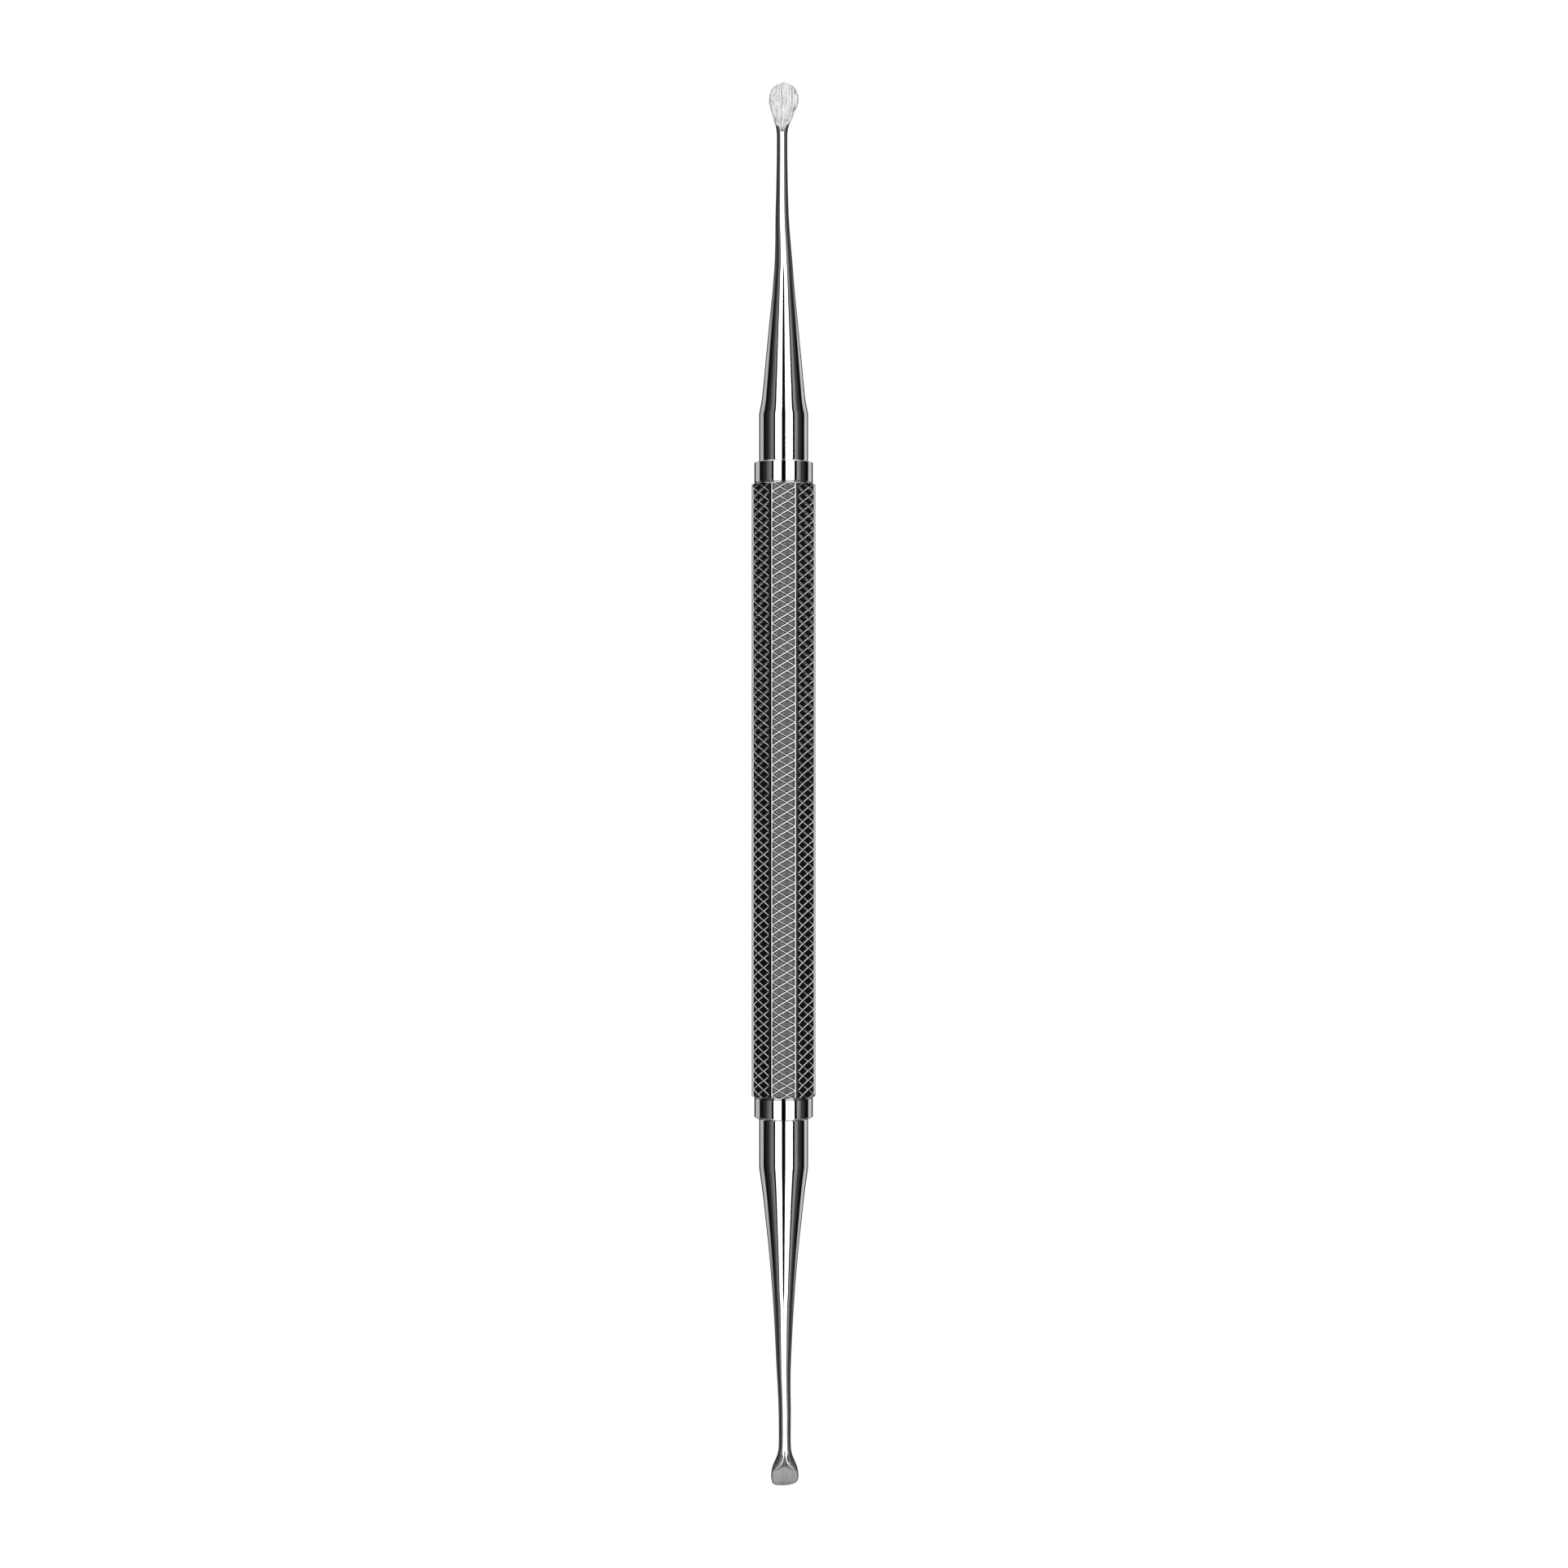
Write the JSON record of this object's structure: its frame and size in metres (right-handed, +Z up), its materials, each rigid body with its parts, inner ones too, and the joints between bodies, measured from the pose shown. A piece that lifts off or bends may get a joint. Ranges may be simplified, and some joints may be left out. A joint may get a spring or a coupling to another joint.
{
  "type": "cuticle pusher",
  "caption": "Double-ended steel manicure tool: knurled octagonal grip between polished collars, tapered shanks, oval nail file at one end, small scoop pusher at the other.",
  "frame": {"origin": "on the table, below the middle of the tool's length", "axes": "+Y along the tool towards the file end, +Z up from the table, out of the file face and the scoop's bowl"},
  "size_m": [0.0066, 0.145, 0.0066],
  "materials": {
    "knurled_steel": "diamond-knurled stainless steel, bright ridges and dark pits",
    "polished_steel": "mirror-polished stainless steel",
    "file_grit": "frosted pale abrasive plated onto the steel"
  },
  "bodies": {
    "root": {"grip_tube": "knurled_steel", "file_end_collar": "polished_steel", "scoop_end_collar": "polished_steel", "file_shank": "polished_steel", "scoop_shank": "polished_steel", "file_grit_front": "file_grit", "file_grit_back": "file_grit"}
  },
  "joints": []
}
